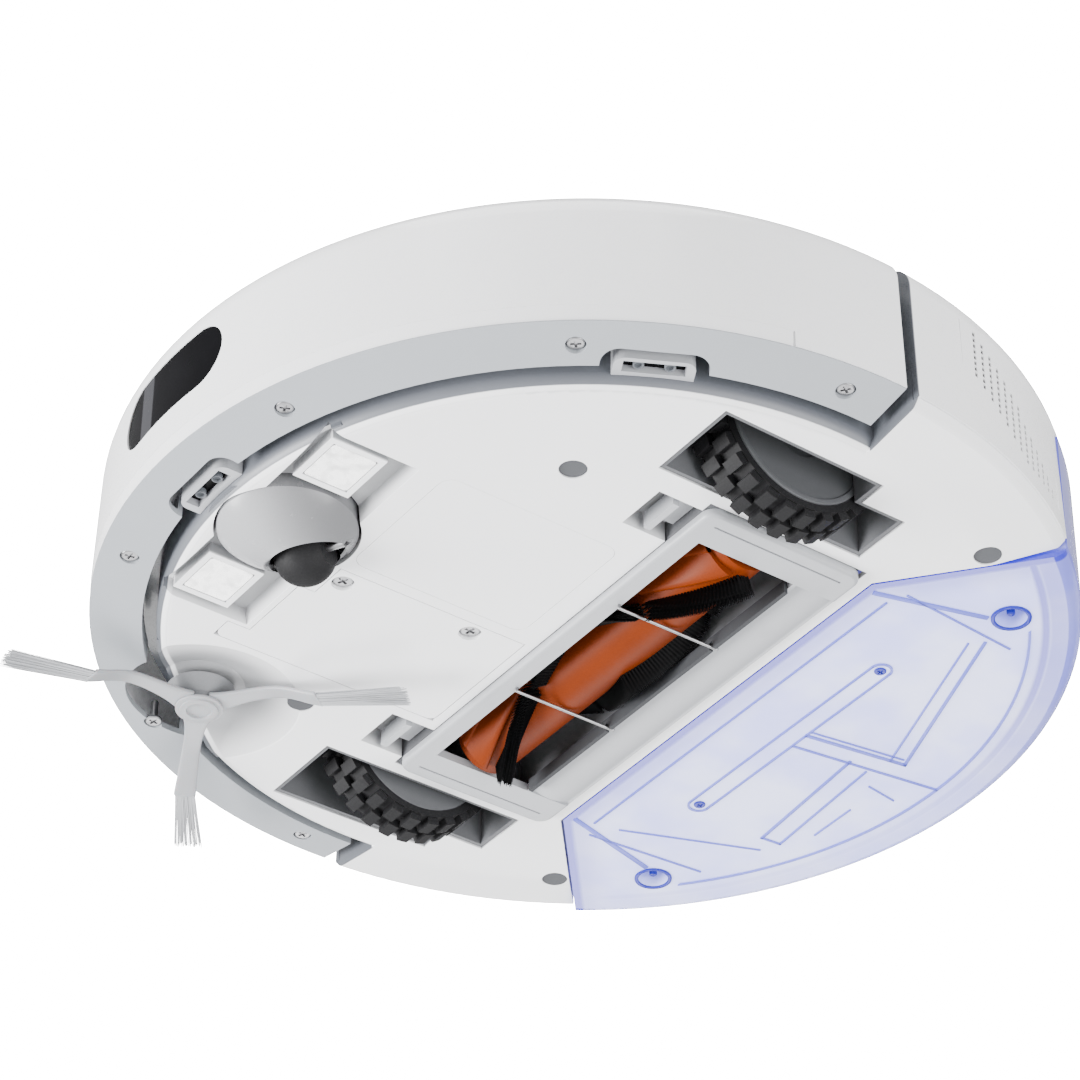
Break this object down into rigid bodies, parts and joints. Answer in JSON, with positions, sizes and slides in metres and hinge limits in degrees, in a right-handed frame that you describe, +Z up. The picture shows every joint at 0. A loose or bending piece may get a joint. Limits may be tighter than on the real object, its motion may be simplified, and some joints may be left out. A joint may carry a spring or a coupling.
{
  "type": "robot vacuum cleaner",
  "caption": "Round floor-cleaning robot with a sprung bumper, sprung drive wheels, a swivel caster, a side brush, a bristle roller behind a guard, a slide-out rear tank and a scanning turret.",
  "frame": {"origin": "on the floor, under the middle of the round body", "axes": "+Z up, the robot drives towards -Y, +X is on the right of a person who faces the robot's front"},
  "size_m": [0.3536, 0.3496, 0.0945],
  "materials": {
    "shell_white": "satin moulded shell",
    "underside_white": "fine matte moulding",
    "ring_grey": "cool light-grey moulding",
    "band_grey": "dark cool-grey moulding",
    "well_grey": "mid-grey moulding",
    "guard_grey": "satin light-grey moulding",
    "liner_grey": "dark matte moulding",
    "window_black": "polished smoked plastic",
    "tank_blue": "tinted clear plastic",
    "tyre_black": "moulded rubber",
    "rim_grey": "mid-grey moulding",
    "steel": "bright zinc-plated steel",
    "contact_metal": "plated contact plate",
    "swivel_grey": "silver-grey moulding",
    "brush_orange": "rust-orange moulding",
    "bristle_black": "nylon bristle",
    "bristle_white": "nylon bristle",
    "arm_white": "soft translucent elastomer",
    "board_green": "circuit board",
    "battery_blue": "shrink-wrapped cells",
    "filter_paper": "pleated filter paper",
    "plug_rubber": "soft rubber plug"
  },
  "bodies": {
    "chassis": {"bottom_chassis": "underside_white", "mid_shell": "shell_white", "exhaust_grille": "shell_white", "top_cover": "shell_white", "battery_door": "underside_white", "battery_door_screws": "steel", "label_plate": "underside_white", "screw_plugs": "plug_rubber", "contact_bezels": "underside_white", "charge_contacts": "contact_metal", "cliff_sensors": "guard_grey", "cliff_windows": "window_black", "wheel_liners": "well_grey", "pivot_pins": "steel", "roller_bearings": "liner_grey", "brush_chamber": "liner_grey", "turret_base": "band_grey", "battery_pack": "battery_blue", "main_board": "board_green", "roller_gearbox": "liner_grey", "sweeper_gearbox": "liner_grey", "fan_housing": "liner_grey", "bumper_switches": "liner_grey"},
    "bumper": {"bumper_shell": "shell_white", "bumper_strip": "shell_white", "sensor_window": "window_black", "bumper_ring": "ring_grey", "bumper_screws": "steel"},
    "arm_left": {"swing_arm_left": "liner_grey"},
    "arm_right": {"swing_arm_right": "liner_grey"},
    "wheel_left": {"wheel_rim_left": "rim_grey", "tyre_left": "tyre_black"},
    "wheel_right": {"wheel_rim_right": "rim_grey", "tyre_right": "tyre_black"},
    "caster": {"caster_swivel": "swivel_grey", "caster_pin": "steel"},
    "caster_ball": {"caster_ball": "tyre_black"},
    "sweeper": {"sweeper_hub": "swivel_grey", "sweeper_screw": "steel", "sweeper_arms": "arm_white", "sweeper_tufts": "bristle_white"},
    "roller": {"roller_core": "brush_orange", "roller_bristles": "bristle_black"},
    "guard": {"guard_frame": "guard_grey", "guard_wires": "steel", "guard_wiper": "liner_grey"},
    "latch_left": {"guard_latch_left": "guard_grey"},
    "latch_right": {"guard_latch_right": "guard_grey"},
    "tank": {"tank_shell": "tank_blue", "tank_tray": "underside_white", "tank_screws": "steel", "tank_pump": "liner_grey", "dust_box": "liner_grey", "dust_filter": "filter_paper"},
    "tank_button": {"tank_button": "tank_blue"},
    "rotor": {"lidar_rotor": "window_black"},
    "turret_cap": {"turret_cap": "shell_white"},
    "power_button": {"power_button": "shell_white"},
    "home_button": {"home_button": "shell_white"},
    "impeller": {"fan_impeller": "liner_grey"}
  },
  "joints": [
    {"name": "bumper_press", "type": "slide", "parent": "chassis", "child": "bumper", "axis": [0, 1, 0], "range_m": [0, 0.003], "stiffness_N_per_m": 400, "springref_m": -0.003},
    {"name": "suspension_left", "type": "hinge", "parent": "chassis", "child": "arm_left", "pos_m": [0.1, -0.033, 0.044], "axis": [1, 0, 0], "range_deg": [-24, 0], "stiffness_Nm_per_rad": 0.25, "springref_deg": -34.38},
    {"name": "suspension_right", "type": "hinge", "parent": "chassis", "child": "arm_right", "pos_m": [-0.1, -0.033, 0.044], "axis": [1, 0, 0], "range_deg": [-24, 0], "stiffness_Nm_per_rad": 0.25, "springref_deg": -34.38},
    {"name": "wheel_spin_left", "type": "hinge", "parent": "arm_left", "child": "wheel_left", "pos_m": [0.114, 0, 0.034], "axis": [1, 0, 0], "continuous": true},
    {"name": "wheel_spin_right", "type": "hinge", "parent": "arm_right", "child": "wheel_right", "pos_m": [-0.114, 0, 0.034], "axis": [1, 0, 0], "continuous": true},
    {"name": "caster_swivel", "type": "hinge", "parent": "chassis", "child": "caster", "pos_m": [0, -0.124, 0.03], "axis": [0, 0, 1], "continuous": true},
    {"name": "caster_roll", "type": "hinge", "parent": "caster", "child": "caster_ball", "pos_m": [-0.00545, -0.11331, 0.011], "axis": [0.891, 0.454, 0], "continuous": true},
    {"name": "sweeper_spin", "type": "hinge", "parent": "chassis", "child": "sweeper", "pos_m": [-0.1047, -0.095, 0.02], "axis": [0, 0, 1], "continuous": true},
    {"name": "roller_spin", "type": "hinge", "parent": "chassis", "child": "roller", "pos_m": [0, 0.01075, 0.022], "axis": [1, 0, 0], "continuous": true},
    {"name": "guard_removal", "type": "slide", "parent": "chassis", "child": "guard", "axis": [0, 0, -1], "range_m": [0, 0.03]},
    {"name": "latch_slide_left", "type": "slide", "parent": "chassis", "child": "latch_left", "axis": [0, -1, 0], "range_m": [0, 0.004], "stiffness_N_per_m": 300, "springref_m": -0.002},
    {"name": "latch_slide_right", "type": "slide", "parent": "chassis", "child": "latch_right", "axis": [0, -1, 0], "range_m": [0, 0.004], "stiffness_N_per_m": 300, "springref_m": -0.002},
    {"name": "tank_removal", "type": "slide", "parent": "chassis", "child": "tank", "axis": [0, 1, 0], "range_m": [0, 0.13]},
    {"name": "tank_button_press", "type": "slide", "parent": "tank", "child": "tank_button", "axis": [0, -1, 0], "range_m": [0, 0.003], "stiffness_N_per_m": 500, "springref_m": -0.001},
    {"name": "rotor_spin", "type": "hinge", "parent": "chassis", "child": "rotor", "pos_m": [0, 0.036, 0.08], "axis": [0, 0, 1], "continuous": true},
    {"name": "turret_cap_press", "type": "slide", "parent": "chassis", "child": "turret_cap", "axis": [0, 0, -1], "range_m": [0, 0.0015], "stiffness_N_per_m": 1500, "springref_m": -0.0015},
    {"name": "power_button_press", "type": "slide", "parent": "chassis", "child": "power_button", "axis": [0, 0, -1], "range_m": [0, 0.001], "stiffness_N_per_m": 800, "springref_m": -0.001},
    {"name": "home_button_press", "type": "slide", "parent": "chassis", "child": "home_button", "axis": [0, 0, -1], "range_m": [0, 0.001], "stiffness_N_per_m": 800, "springref_m": -0.001},
    {"name": "fan_spin", "type": "hinge", "parent": "chassis", "child": "impeller", "pos_m": [0.137, 0.063, 0.05], "axis": [0, 0, 1], "continuous": true}
  ]
}
